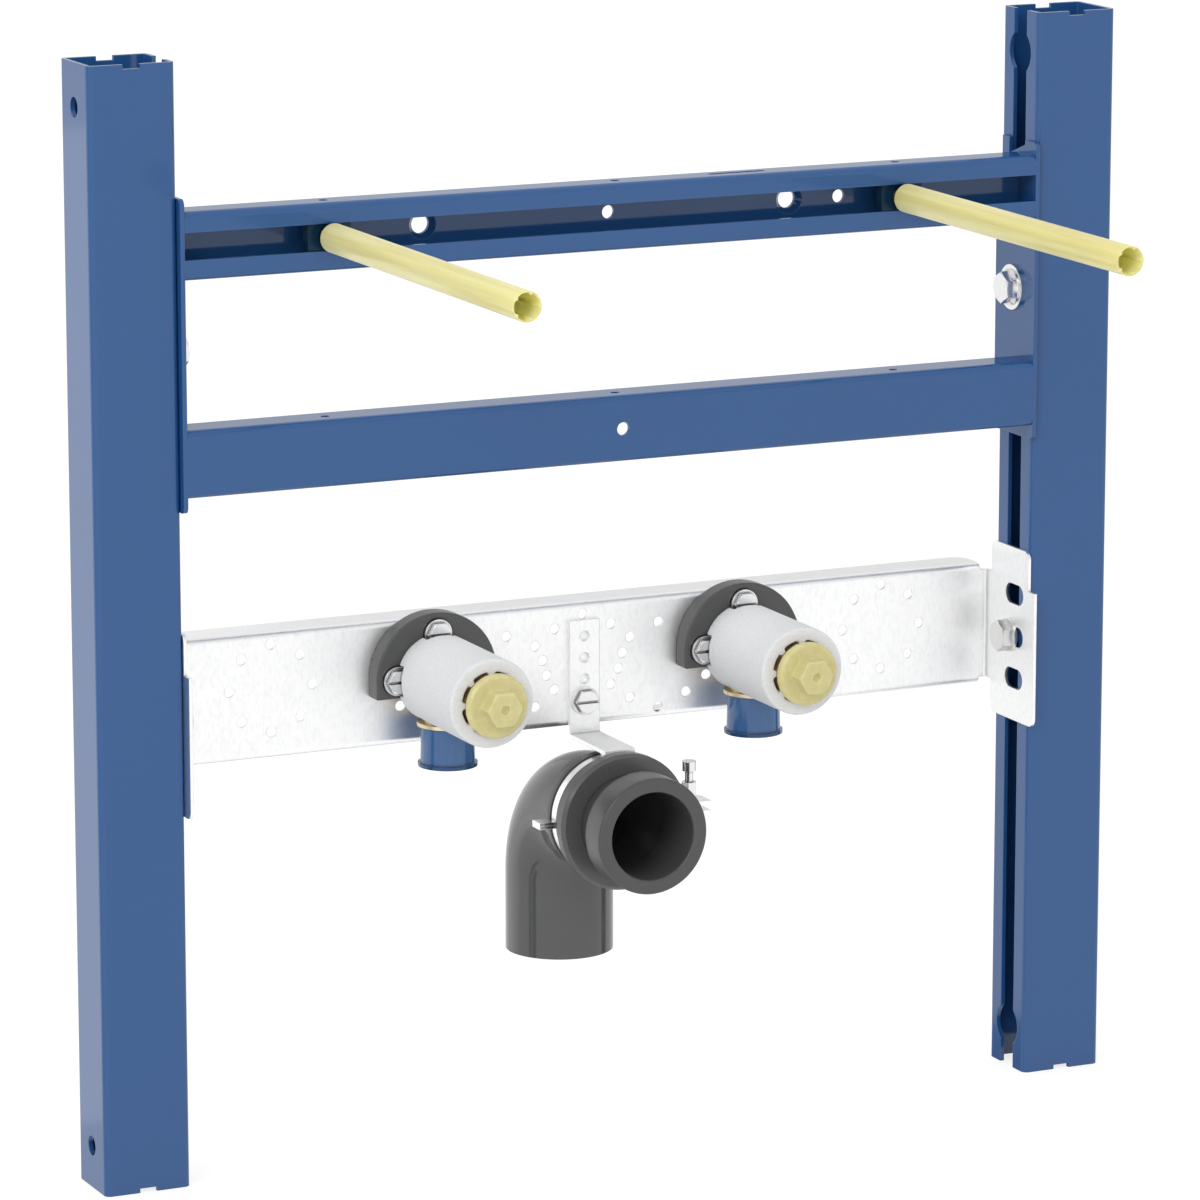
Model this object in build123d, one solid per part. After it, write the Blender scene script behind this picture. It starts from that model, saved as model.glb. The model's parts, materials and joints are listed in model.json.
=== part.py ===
"""Installation frame for a wash basin: two C-profile uprights, a welded ladder of two rails with
basin rods, and a galvanised traverse that carries two tap elbows and the waste bend.

Frame: +X to the right, -Y to the front, +Z up, millimetres. The origin lies on the outer face of the
left upright, at half its depth and at its lower end. Pieces of the left side are mirrored to the right.
"""
from build123d import *
import math
import os

# Whole frame
frame_width = 500.0
frame_height = 500.0
fit_clearance = 0.1

# Uprights
upright_width = 40.0
upright_depth = 34.0
upright_wall = 2.0
upright_corner_radius = 3.0
upright_slot_width = 12.0
keyhole_diameter = 20.0
keyhole_from_end = 19.5
side_hole_diameter = 9.0
side_hole_from_end = 19.2
end_notch_width = 8.0
end_notch_depth = 2.0

# Ladder of two rails between end plates, its heights measured down from the top of the frame
ladder_forward = 3.0
rail_depth = 18.0
rail_height = 30.0
rail_wall = 2.0
rail_corner_radius = 3.0
upper_rail_drop = 64.6
rail_pitch = 95.4
upper_rail_slot = 12.0
lower_rail_hole_diameter = 6.0
drain_hole_diameter = 4.0
long_slot_length = 28.0
long_slot_width = 3.0
long_slot_from_middle = 60.0
large_back_hole_diameter = 8.4
large_back_hole_spacing = 180.0
back_dimple_diameter = 13.0
back_dimple_depth = 2.7
small_back_hole_diameter = 6.0
small_back_hole_from_middle = 115.0
end_plate_thickness = 2.0
end_plate_above = 5.6
end_plate_below = 6.4
end_plate_ear = 10.6
end_plate_notch_width = 15.0
end_plate_notch_depth = 7.5
end_plate_notch_slope = 5.5
end_plate_back_step = 5.0
end_plate_corner_radius = 3.0

# Bolts that hold the end plates and the traverse to the uprights
bolt_diameter = 8.0
bolt_hole_diameter = 9.0
bolt_head_width = 13.0
bolt_head_height = 5.3
bolt_length = 16.0
bolt_flange_diameter = 17.0
bolt_flange_height = 2.0
bolt_flange_rim = 0.6
rail_washer_diameter = 21.0
traverse_washer_diameter = 15.5
washer_thickness = 1.6
channel_nut_width = 22.0
channel_nut_height = 20.0
channel_nut_thickness = 6.0
rail_bolt_drop = 48.4
traverse_bolt_drop = 4.4

# Basin rods
rod_spacing = 280.0
rod_diameter = 10.0
rod_reach = 182.0
slide_nut_length = 20.0
slide_nut_height = 22.0
slide_nut_thickness = 6.0
tube_gap = 3.0
tube_outer_diameter = 13.0
tube_inner_diameter = 11.6
tube_length = 202.4
tube_end_round = 0.8
tube_rib_diameter = 10.6
tube_rib_width = 1.4
tube_rib_count = 5

# Traverse, its heights measured from the tap axis
sheet_thickness = 1.5
sheet_bend_radius = 1.5
traverse_setback = 6.0
traverse_below = 31.9
traverse_above = 25.6
traverse_flange_depth = 18.0
traverse_flange_corner = 8.0
traverse_end_gap = 5.0
bend_relief = 3.0
ear_below = 44.4
ear_above = 37.6
ear_back_gap = 5.0
ear_step_above = 19.1
ear_lip = 6.0
ear_corner_radius = 4.0
ear_slot_length = 17.0
ear_slot_width = 9.5
ear_slot_pitch = 20.0
ear_slot_forward = 4.2

# Rings of fixing holes in the traverse
ring_diameter = 40.0
ring_hole_diameter = 4.7
ring_hole_count = 8
waste_ring_spacing = 38.0
waste_ring_drop = 7.1
outer_ring_spacing = 153.0

# Hexagon screws with a washer face, slotted
screw_diameter = 4.2
screw_flange_diameter = 13.2
screw_flange_thickness = 1.5
screw_head_width = 10.0
screw_head_height = 3.0
screw_slot_width = 1.3
screw_slot_depth = 1.2

# Tap connections
tap_spacing = 153.0
tap_height = 212.4
pad_radius = 29.4
pad_flat_below = 8.4
pad_thickness = 10.0
lug_radius = 6.5
lug_thickness = 3.0
tap_body_diameter = 25.2
tap_bore_diameter = 18.6
tap_bore_depth = 46.0
sleeve_diameter = 40.4
sleeve_bore = 28.8
sleeve_setback = 3.0
sleeve_edge_round = 1.0
tap_reach = 63.0
sleeve_rib_width = 2.8
sleeve_rib_count = 8
screw_notch_diameter = 14.4
screw_notch_depth = 5.0
leg_setback = 10.8
leg_diameter = 21.0
leg_bore = 15.0
leg_rim_diameter = 27.8
leg_rim_height = 1.6
leg_drop = 19.5
tap_screw_length = 20.0

# Plugs and caps that close the tap connections
plug_diameter = 29.0
plug_disc_thickness = 4.0
plug_spigot_length = 12.0
plug_hex_width = 15.0
plug_hex_height = 8.0
plug_dimple_diameter = 4.0
plug_dimple_depth = 1.5
plug_edge_chamfer = 1.0
cap_wall = 1.6
cap_top_diameter = 23.9
cap_bottom_diameter = 24.8
cap_rim_diameter = 27.0
cap_rim_height = 1.6
cap_length = 18.6
cap_spigot_length = 6.0

# Waste bend with its collar and rubber nipple, placed below the tap axis
waste_drop = 67.4
pipe_diameter = 50.0
pipe_wall = 3.0
bend_radius = 38.0
outlet_setback = 32.0
outlet_drop = 75.0
collar_diameter = 63.0
collar_length = 6.0
collar_lip = 3.0
collar_forward = 6.0
nipple_diameter = 53.5
nipple_reach = 29.0
nipple_lip = 16.0
nipple_bore = 40.0
edge_round = 1.5

# Bracket and rubber-lined clamp of the waste bend
strip_width = 15.0
strip_thickness = 2.0
strip_above_tap = 17.6
strip_above_waste = 30.5
strip_hole_diameter = 4.7
strip_hole_pitch = 10.0
strip_hole_count = 4
bracket_screw_length = 12.0
clamp_setback = 9.0
clamp_width = 15.0
clamp_thickness = 1.5
clamp_lining = 1.5
clamp_lip_width = 1.7
clamp_lip_rise = 0.6
clamp_gap = 3.0
clamp_boss_diameter = 10.0
clamp_ear_reach = 48.0
clamp_hook_reach = 37.0
clamp_hook_width = 8.0
clamp_hook_drop = 1.0
clamp_screw_from_middle = 39.6
clamp_screw_diameter = 4.0
clamp_screw_head_diameter = 6.5
clamp_screw_head_height = 4.5
clamp_screw_above = 21.1
clamp_screw_below = 12.0
clamp_spacer_above = 11.4
clamp_nut_width = 6.5
clamp_nut_height = 4.0

# Places that follow from the driving sizes
middle = frame_width / 2
front = -upright_depth / 2
back = upright_depth / 2
inner_face = upright_width
plate_face = inner_face + end_plate_thickness
ladder_front = front - ladder_forward
rail_middle = ladder_front + rail_depth / 2
upper_rail_top = frame_height - upper_rail_drop
lower_rail_top = upper_rail_top - rail_pitch
rod_height = upper_rail_top - rail_height / 2
end_plate_top = upper_rail_top + end_plate_above
end_plate_bottom = lower_rail_top - rail_height - end_plate_below
rail_bolt_height = rod_height - rail_bolt_drop
rod_x = middle - rod_spacing / 2
tube_rear = ladder_front - tube_gap
tube_mouth = tube_rear - tube_length
traverse_front = back + traverse_setback
traverse_bottom = tap_height - traverse_below
traverse_top = tap_height + traverse_above
traverse_bolt_height = tap_height - traverse_bolt_drop
ring_radius = ring_diameter / 2
tap_x = middle - tap_spacing / 2
pad_front = traverse_front - pad_thickness
lug_back = pad_front + lug_thickness
socket_front = pad_front - tap_reach
sleeve_front = socket_front + sleeve_setback
sleeve_back = pad_front - fit_clearance
leg_y = pad_front - leg_setback
leg_bottom = tap_height - leg_drop
cap_bottom = leg_bottom - cap_length
waste_height = tap_height - waste_drop
collar_front = front - collar_forward
collar_back = collar_front + collar_length
pipe_front = collar_front + collar_lip
outlet_y = back + outlet_setback
outlet_bottom = waste_height - outlet_drop
pipe_bore_radius = pipe_diameter / 2 - pipe_wall
strip_front = traverse_front - strip_thickness
strip_under = waste_height + strip_above_waste
bracket_screw_height = tap_height - ring_radius
lining_radius = pipe_diameter / 2 + fit_clearance
clamp_radius = lining_radius + clamp_lining + fit_clearance
clamp_front = collar_front + clamp_setback
clamp_back = clamp_front + clamp_width
clamp_middle = (clamp_front + clamp_back) / 2
band_front = clamp_front + clamp_lip_width
band_back = clamp_back - clamp_lip_width


def block(x0, x1, y0, y1, z0, z1):
    """Box between two corners."""
    return Pos((x0 + x1) / 2, (y0 + y1) / 2, (z0 + z1) / 2) * Box(x1 - x0, y1 - y0, z1 - z0)


def round_x(y, z, x0, x1, diameter):
    """Cylinder along X."""
    return Pos((x0 + x1) / 2, y, z) * Rot(0, 90, 0) * Cylinder(diameter / 2, x1 - x0)


def round_y(x, z, y0, y1, diameter):
    """Cylinder along Y."""
    return Pos(x, (y0 + y1) / 2, z) * Rot(90, 0, 0) * Cylinder(diameter / 2, y1 - y0)


def round_z(x, y, z0, z1, diameter):
    """Cylinder along Z."""
    return Pos(x, y, (z0 + z1) / 2) * Cylinder(diameter / 2, z1 - z0)


def hexagon(width):
    """Hexagon of a given width across flats."""
    return RegularPolygon(width / 2, 6, major_radius=False)


def along_x(profile, x0, x1):
    """Solid with a constant section, drawn as Y across and Z up, from x0 to x1."""
    return extrude(Plane.YZ.offset(x0) * profile, x1 - x0)


def turned_y(x, z, outline):
    """Body of revolution about a line along Y, from an outline of (radius, y) points."""
    section = make_face(Polyline(*[(r, y, 0) for r, y in outline], close=True))
    return Pos(x, 0, z) * revolve(section, Axis.Y)


def turned_z(x, y, outline):
    """Body of revolution about an upright line, from an outline of (radius, z) points."""
    section = make_face(Polyline(*[(r, 0, z) for r, z in outline], close=True))
    return Pos(x, y, 0) * revolve(section, Axis.Z)


def hex_head(width, height):
    """Hexagon standing on the XY plane, with its upper corners bevelled."""
    rim = width / math.sqrt(3) + fit_clearance
    bevel = (rim - width / 2) / 2
    drum = turned_z(0, 0, [(0, 0), (rim, 0), (rim, height - bevel), (width / 2, height), (0, height)])
    return extrude(hexagon(width), height) & drum


def fixing_screw(x, z, seat, length):
    """Hexagon screw with a washer face, its slotted head towards the front."""
    flange_front = seat - screw_flange_thickness
    head_front = flange_front - screw_head_height
    head = Pos(x, flange_front, z) * Rot(90, 0, 0) * hex_head(screw_head_width, screw_head_height)
    head -= block(
        x - screw_head_width, x + screw_head_width, head_front - screw_slot_depth, head_front + screw_slot_depth,
        z - screw_slot_width / 2, z + screw_slot_width / 2,
    )
    screw = head + round_y(x, z, flange_front, seat, screw_flange_diameter)
    return screw + round_y(x, z, seat, seat + length, screw_diameter)


def mirrored(shape):
    """The right-hand twin of a left-hand piece."""
    return mirror(shape, about=Plane.YZ.offset(middle))


def ring_points(x, z):
    """Hole centres of one ring of fixing holes, as (x, z)."""
    steps = [2 * math.pi * i / ring_hole_count for i in range(ring_hole_count)]
    return [(x + ring_radius * math.cos(a), z + ring_radius * math.sin(a)) for a in steps]


def make_upright():
    """C-profile open along its inner side, with round keyholes in the slot near both ends."""
    outer = RectangleRounded(upright_width, upright_depth, upright_corner_radius)
    inner = RectangleRounded(
        upright_width - 2 * upright_wall,
        upright_depth - 2 * upright_wall,
        upright_corner_radius - upright_wall,
    )
    slot = Pos(upright_width / 2, 0) * Rectangle(3 * upright_wall, upright_slot_width)
    body = extrude(Pos(upright_width / 2, 0) * (outer - inner - slot), frame_height)
    for z in (keyhole_from_end, frame_height - keyhole_from_end):
        body -= round_x(0, z, inner_face - 1.5 * upright_wall, inner_face + upright_wall, keyhole_diameter)
    for z in (side_hole_from_end, frame_height - side_hole_from_end):
        body -= round_x(0, z, -upright_wall, 2 * upright_wall, side_hole_diameter)
    notch_x0 = upright_width / 2 - end_notch_width / 2
    for z in (0, frame_height):
        body -= block(
            notch_x0, notch_x0 + end_notch_width,
            front - upright_wall, back + upright_wall,
            z - end_notch_depth, z + end_notch_depth,
        )
    return body


def make_lower_rail():
    """U-channel with its web at the front, open to the back."""
    outer = Rectangle(rail_depth, rail_height)
    outer = fillet(outer.vertices().sort_by(Axis.X)[:2], rail_corner_radius)
    hollow = Pos(rail_wall, 0) * Rectangle(rail_depth, rail_height - 2 * rail_wall)
    hollow = fillet(hollow.vertices().sort_by(Axis.X)[:2], rail_corner_radius - rail_wall)
    z = lower_rail_top - rail_height / 2
    body = along_x(Pos(rail_middle, z) * (outer - hollow), plate_face, frame_width - plate_face)
    web_back = ladder_front + 2 * rail_wall
    body -= round_y(middle, z, ladder_front - rail_wall, web_back, lower_rail_hole_diameter)
    for x in (rod_x, middle, frame_width - rod_x):
        body -= round_z(
            x, rail_middle, lower_rail_top - 2 * rail_wall, lower_rail_top + rail_wall, drain_hole_diameter
        )
    return body


def make_upper_rail():
    """C-channel with a slot along its front for the nuts of the basin rods."""
    outer = RectangleRounded(rail_depth, rail_height, rail_corner_radius)
    inner = RectangleRounded(
        rail_depth - 2 * rail_wall, rail_height - 2 * rail_wall, rail_corner_radius - rail_wall
    )
    slot = Pos(-rail_depth / 2, 0) * Rectangle(3 * rail_wall, upper_rail_slot)
    profile = Pos(rail_middle, rod_height) * (outer - inner - slot)
    body = along_x(profile, plate_face, frame_width - plate_face)
    web_face = ladder_front + rail_depth - rail_wall
    web_front = web_face - rail_wall / 2
    web_back = web_face + 2 * rail_wall
    for x in (middle, middle + small_back_hole_from_middle):
        body -= round_y(x, rod_height, web_front, web_back, small_back_hole_diameter)
    rim = back_dimple_diameter / 2
    bore = large_back_hole_diameter / 2
    floor = web_face + back_dimple_depth
    for side in (-1, 1):
        x = middle + side * large_back_hole_spacing / 2
        body -= round_y(x, rod_height, web_front, web_back, back_dimple_diameter)
        body += turned_y(x, rod_height, [
            (rim, web_face), (bore, floor), (bore, floor + rail_wall), (rim, web_face + rail_wall),
        ])
    top = upper_rail_top
    for x in (rod_x, middle, frame_width - rod_x):
        body -= round_z(x, rail_middle, top - 1.5 * rail_wall, top + rail_wall, drain_hole_diameter)
    long_slot = extrude(SlotOverall(long_slot_length, long_slot_width), 2.5 * rail_wall)
    body -= Pos(middle + long_slot_from_middle, rail_middle, top - 1.5 * rail_wall) * long_slot
    return body


def make_end_plate():
    """Plate welded across the ends of both rails, with a sloping notch over the slot of the upright."""
    outline = Pos((ladder_front + back) / 2, (end_plate_top + end_plate_bottom) / 2) * Rectangle(
        back - ladder_front, end_plate_top - end_plate_bottom
    )
    outline = fillet(outline.vertices(), end_plate_corner_radius)
    notch_front = ladder_front + end_plate_ear
    notch_back = notch_front + end_plate_notch_width
    notch_bottom = end_plate_top - end_plate_notch_depth
    outline -= make_face(Polyline(
        (notch_front, notch_bottom + end_plate_notch_slope), (notch_back, notch_bottom),
        (notch_back, end_plate_top + 1), (notch_front, end_plate_top + 1), close=True,
    ))
    outline -= Pos(back, (rod_height + end_plate_top) / 2) * Rectangle(
        2 * end_plate_back_step, end_plate_top - rod_height
    )
    plate = along_x(outline, inner_face, plate_face)
    return plate - round_x(0, rail_bolt_height, inner_face, plate_face, bolt_hole_diameter)


def make_bolt_head():
    """Plain hexagon head of a bolt, standing on the XY plane."""
    return hex_head(bolt_head_width, bolt_head_height)


def make_flanged_head():
    """Hexagon head with a conical flange at its foot."""
    rim = bolt_flange_diameter / 2
    return make_bolt_head() + turned_z(0, 0, [
        (0, 0), (rim, 0), (rim, bolt_flange_rim), (bolt_head_width / 2, bolt_flange_height),
        (0, bolt_flange_height),
    ])


def make_bolt_set(z, clamped, head, washer_diameter):
    """Bolt, washer and channel nut that clamp a sheet to the inner side of the upright."""
    seat = inner_face + clamped
    washer_top = seat + washer_thickness
    bolt = Pos(washer_top, 0, z) * Rot(0, 90, 0) * head
    bolt += round_x(0, z, washer_top - bolt_length, washer_top, bolt_diameter)
    washer = round_x(0, z, seat, washer_top, washer_diameter)
    washer -= round_x(0, z, seat, washer_top, bolt_diameter + 2 * fit_clearance)
    nut_top = inner_face - upright_wall
    half_width = channel_nut_width / 2
    half_height = channel_nut_height / 2
    nut = block(
        nut_top - channel_nut_thickness, nut_top, -half_width, half_width, z - half_height, z + half_height
    )
    nut -= round_x(0, z, nut_top - channel_nut_thickness, nut_top, bolt_diameter + 2 * fit_clearance)
    return bolt, washer, nut


def make_rod():
    """Threaded rod that carries the basin, screwed into the slide nut."""
    inner_end = ladder_front + rail_wall + slide_nut_thickness
    return round_y(rod_x, rod_height, ladder_front - rod_reach, inner_end, rod_diameter)


def make_rod_nut():
    """Slide nut behind the lips of the upper rail."""
    lip_back = ladder_front + rail_wall
    slide_back = lip_back + slide_nut_thickness
    half_length = slide_nut_length / 2
    half_height = slide_nut_height / 2
    slide = block(
        rod_x - half_length, rod_x + half_length, lip_back, slide_back,
        rod_height - half_height, rod_height + half_height,
    )
    return slide - round_y(rod_x, rod_height, lip_back, slide_back, rod_diameter + 2 * fit_clearance)


def make_rod_tube():
    """Protective tube pushed over the rod, rounded at its rear, with ribs inside that hold the thread."""
    tube = round_y(rod_x, rod_height, tube_mouth, tube_rear, tube_outer_diameter)
    tube = fillet(tube.edges().filter_by(GeomType.CIRCLE).sort_by(Axis.Y)[-1], tube_end_round)
    tube -= round_y(rod_x, rod_height, tube_mouth, tube_rear, tube_inner_diameter)
    tip = tube_rib_diameter / 2
    root = tube_inner_diameter / 2 + fit_clearance
    rib = Pos((tip + root) / 2, (tube_mouth + tube_rear) / 2, 0) * Box(root - tip, tube_length, tube_rib_width)
    for i in range(tube_rib_count):
        tube += Pos(rod_x, 0, rod_height) * Rot(0, 360 * i / tube_rib_count, 0) * rib
    return tube


def traverse_holes():
    """Centres of the fixing holes of the traverse, as (x, z)."""
    rings = [(middle, tap_height)]
    for side in (-1, 1):
        rings.append((middle + side * waste_ring_spacing, tap_height - waste_ring_drop))
        rings.append((middle + side * tap_spacing / 2, tap_height))
        rings.append((middle + side * outer_ring_spacing, tap_height))
    return [point for x, z in rings for point in ring_points(x, z)]


def make_traverse_channel():
    """Perforated face of the traverse with its top and bottom flanges folded back."""
    height = traverse_top - traverse_bottom
    outer = Rectangle(traverse_flange_depth, height)
    outer = fillet(outer.vertices().sort_by(Axis.X)[:2], sheet_bend_radius + sheet_thickness)
    hollow = Pos(sheet_thickness, 0) * Rectangle(traverse_flange_depth, height - 2 * sheet_thickness)
    hollow = fillet(hollow.vertices().sort_by(Axis.X)[:2], sheet_bend_radius)
    centre = Pos(traverse_front + traverse_flange_depth / 2, traverse_bottom + height / 2)
    x0 = inner_face + traverse_end_gap
    channel = along_x(centre * (outer - hollow), x0, frame_width - x0)
    plan = Pos(middle, traverse_front + traverse_flange_depth / 2) * Rectangle(
        frame_width - 2 * x0, traverse_flange_depth
    )
    plan = fillet(plan.vertices().sort_by(Axis.Y)[2:], traverse_flange_corner)
    channel = channel & (Pos(0, 0, traverse_bottom) * extrude(plan, height))
    face_back = traverse_front + sheet_thickness
    holes = [round_y(x, z, traverse_front, face_back, ring_hole_diameter) for x, z in traverse_holes()]
    return channel - holes


def make_traverse_end():
    """End of the traverse: the face turns forward into an ear with three slots along the upright."""
    corner = sheet_bend_radius + sheet_thickness
    face_back = traverse_front + sheet_thickness
    ear_back = traverse_front - ear_back_gap
    x1 = inner_face + traverse_end_gap
    turn = Polyline(
        (inner_face, ear_back), (inner_face, face_back), (x1, face_back), (x1, traverse_front),
        (inner_face + sheet_thickness, traverse_front), (inner_face + sheet_thickness, ear_back), close=True,
    )
    turn = make_face(turn)
    outer_corner = turn.vertices().sort_by_distance((inner_face, face_back))[0]
    turn = fillet(outer_corner, corner)
    inner_corner = turn.vertices().sort_by_distance((inner_face + sheet_thickness, traverse_front))[0]
    turn = fillet(inner_corner, sheet_bend_radius)
    z0 = traverse_bottom + bend_relief
    turned = Pos(0, 0, z0) * extrude(turn, traverse_top - bend_relief - z0)
    ear_bottom = tap_height - ear_below
    ear_top = tap_height + ear_above
    ear_step = tap_height + ear_step_above
    ear = Polyline(
        (ear_back, ear_bottom), (front - ear_lip, ear_bottom), (front - ear_lip, ear_step),
        (front, ear_step), (front, ear_top), (ear_back, ear_top), close=True,
    )
    ear = make_face(ear)
    rounded = [(ear_back, ear_bottom), (front - ear_lip, ear_bottom), (front, ear_top), (ear_back, ear_top)]
    ear = fillet([ear.vertices().sort_by_distance(p)[0] for p in rounded], ear_corner_radius)
    for step in (-1, 0, 1):
        slot_place = Pos(-ear_slot_forward, traverse_bolt_height + step * ear_slot_pitch)
        ear -= slot_place * SlotOverall(ear_slot_length, ear_slot_width)
    return turned + along_x(ear, inner_face, inner_face + sheet_thickness)


def make_traverse():
    """One folded sheet: the perforated channel with an ear at each end."""
    end = make_traverse_end()
    return make_traverse_channel() + end + mirrored(end)


def tap_screw_points():
    """Centres of the three screws of a tap elbow, right, top and left of its axis."""
    return [
        (tap_x + ring_radius, tap_height), (tap_x, tap_height + ring_radius), (tap_x - ring_radius, tap_height)
    ]


def make_lug_plate(grow):
    """Base of a tap elbow: a disc with three lugs, sunk into the pad."""
    reach = lug_radius + grow
    outline = Circle(tap_body_diameter / 2 + grow)
    for x, z in tap_screw_points():
        place = (x - tap_x, z - tap_height)
        outline += Pos(*place) * Circle(reach)
        arm = (2 * reach, ring_radius) if x == tap_x else (ring_radius, 2 * reach)
        outline += Pos(place[0] / 2, place[1] / 2) * Rectangle(*arm)
    return Pos(tap_x, lug_back, tap_height) * Rot(90, 0, 0) * extrude(outline, lug_thickness)


def make_pad():
    """Sound-damping pad between the tap elbow and the traverse, an arch with a flat lower edge."""
    shoulders = Pos(0, -pad_flat_below / 2) * Rectangle(2 * pad_radius, pad_flat_below)
    below = Pos(0, -pad_radius - pad_flat_below) * Rectangle(2 * pad_radius, 2 * pad_radius)
    outline = Circle(pad_radius) + shoulders - below
    pad = Pos(tap_x, traverse_front, tap_height) * Rot(90, 0, 0) * extrude(outline, pad_thickness)
    pad -= make_lug_plate(fit_clearance)
    bore = screw_diameter + 2 * fit_clearance
    return pad - [round_y(x, z, pad_front, traverse_front, bore) for x, z in tap_screw_points()]


def make_tap_elbow():
    """Wall elbow with three lugs: threaded socket to the front and a rimmed leg pointing down."""
    body = round_y(tap_x, tap_height, socket_front, lug_back, tap_body_diameter)
    body += make_lug_plate(0)
    body += round_z(tap_x, leg_y, leg_bottom, tap_height, leg_diameter)
    body += round_z(tap_x, leg_y, leg_bottom, leg_bottom + leg_rim_height, leg_rim_diameter)
    body -= round_y(tap_x, tap_height, socket_front, socket_front + tap_bore_depth, tap_bore_diameter)
    body -= round_z(tap_x, leg_y, leg_bottom, tap_height, leg_bore)
    bore = screw_diameter + 2 * fit_clearance
    return body - [round_y(x, z, pad_front, lug_back, bore) for x, z in tap_screw_points()]


def make_sleeve():
    """Insulating sleeve over the tap socket, ribbed inside, notched over the screws and the leg."""
    sleeve = round_y(tap_x, tap_height, sleeve_front, sleeve_back, sleeve_diameter)
    sleeve = fillet(sleeve.edges().filter_by(GeomType.CIRCLE).sort_by(Axis.Y)[0], sleeve_edge_round)
    sleeve -= round_y(tap_x, tap_height, sleeve_front, sleeve_back, sleeve_bore)
    inner = tap_body_diameter / 2 + fit_clearance
    outer = sleeve_bore / 2 + fit_clearance
    rib = Pos((inner + outer) / 2, (sleeve_front + sleeve_back) / 2, 0) * Box(
        outer - inner, sleeve_back - sleeve_front, sleeve_rib_width
    )
    for i in range(sleeve_rib_count):
        sleeve += Pos(tap_x, 0, tap_height) * Rot(0, 360 * i / sleeve_rib_count, 0) * rib
    for x, z in tap_screw_points():
        sleeve -= round_y(x, z, sleeve_back - screw_notch_depth, pad_front, screw_notch_diameter)
    half = leg_diameter / 2 + fit_clearance
    below = tap_height - sleeve_diameter
    sleeve -= round_z(tap_x, leg_y, below, tap_height, 2 * half)
    rim_top = leg_bottom + leg_rim_height + fit_clearance
    sleeve -= round_z(tap_x, leg_y, below, rim_top, leg_rim_diameter + 2 * fit_clearance)
    return sleeve - block(tap_x - half, tap_x + half, leg_y, pad_front, below, tap_height)


def make_tap_screws():
    """Three screws of one tap elbow, through lug and pad into the traverse."""
    return Compound(children=[fixing_screw(x, z, pad_front, tap_screw_length) for x, z in tap_screw_points()])


def make_plug():
    """Pressure-test plug: threaded spigot, round disc and a hexagon with a dimple."""
    disc_front = socket_front - plug_disc_thickness
    hexagon_end = disc_front - plug_hex_height
    rim = plug_diameter / 2
    spigot = tap_bore_diameter / 2 - fit_clearance
    spigot_end = socket_front + plug_spigot_length
    plug = turned_y(tap_x, tap_height, [
        (0, spigot_end), (spigot, spigot_end), (spigot, socket_front), (rim, socket_front),
        (rim, disc_front + plug_edge_chamfer), (rim - plug_edge_chamfer, disc_front), (0, disc_front),
    ])
    plug += Pos(tap_x, disc_front, tap_height) * Rot(90, 0, 0) * hex_head(plug_hex_width, plug_hex_height)
    return plug - round_y(
        tap_x, tap_height, hexagon_end, hexagon_end + plug_dimple_depth, plug_dimple_diameter
    )


def make_cap():
    """Tapered protective cap pushed into the leg of the elbow, hollow from below."""
    rim_top = cap_bottom + cap_rim_height
    spigot = leg_bore / 2 - fit_clearance
    outline = [
        (0, leg_bottom + cap_spigot_length), (spigot, leg_bottom + cap_spigot_length), (spigot, leg_bottom),
        (cap_top_diameter / 2, leg_bottom), (cap_bottom_diameter / 2, rim_top),
        (cap_rim_diameter / 2, rim_top), (cap_rim_diameter / 2, cap_bottom),
        (cap_bottom_diameter / 2 - cap_wall, cap_bottom),
        (cap_top_diameter / 2 - cap_wall, leg_bottom - cap_wall), (0, leg_bottom - cap_wall),
    ]
    return turned_z(tap_x, leg_y, outline)


def make_waste_bend():
    """Bend of plastic pipe: a short run under the collar, a quarter turn and a leg pointing down."""
    inlet = pipe_front
    turn_start = outlet_y - bend_radius
    path = Wire([
        Edge.make_line((middle, inlet, waste_height), (middle, turn_start, waste_height)),
        Edge.make_three_point_arc(
            (middle, turn_start, waste_height),
            (
                middle,
                turn_start + bend_radius * math.sin(math.pi / 4),
                waste_height - bend_radius * (1 - math.cos(math.pi / 4)),
            ),
            (middle, outlet_y, waste_height - bend_radius),
        ),
        Edge.make_line((middle, outlet_y, waste_height - bend_radius), (middle, outlet_y, outlet_bottom)),
    ])
    ring = Circle(pipe_diameter / 2) - Circle(pipe_bore_radius)
    return sweep(Plane((middle, inlet, waste_height), z_dir=(0, 1, 0)) * ring, path)


def make_collar():
    """Ring on the end of the pipe, with a lip in front of the pipe's edge."""
    rim = collar_diameter / 2
    pipe = pipe_diameter / 2 + fit_clearance
    return turned_y(middle, waste_height, [
        (pipe, collar_back), (rim, collar_back), (rim, collar_front + edge_round),
        (rim - edge_round, collar_front), (pipe_bore_radius, collar_front),
        (pipe_bore_radius, pipe_front), (pipe, pipe_front),
    ])


def make_nipple():
    """Rubber nipple for the trap's outlet pipe: a wide lip in front of a neck seated in the collar."""
    outer = nipple_diameter / 2
    bore = nipple_bore / 2
    neck = pipe_bore_radius - fit_clearance
    mouth = collar_front - nipple_reach
    lip_back = mouth + nipple_lip
    seat = pipe_front - fit_clearance
    return turned_y(middle, waste_height, [
        (bore, mouth), (outer - edge_round, mouth), (outer, mouth + edge_round), (outer, lip_back),
        (neck, lip_back), (neck, seat), (bore, seat),
    ])


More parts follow.
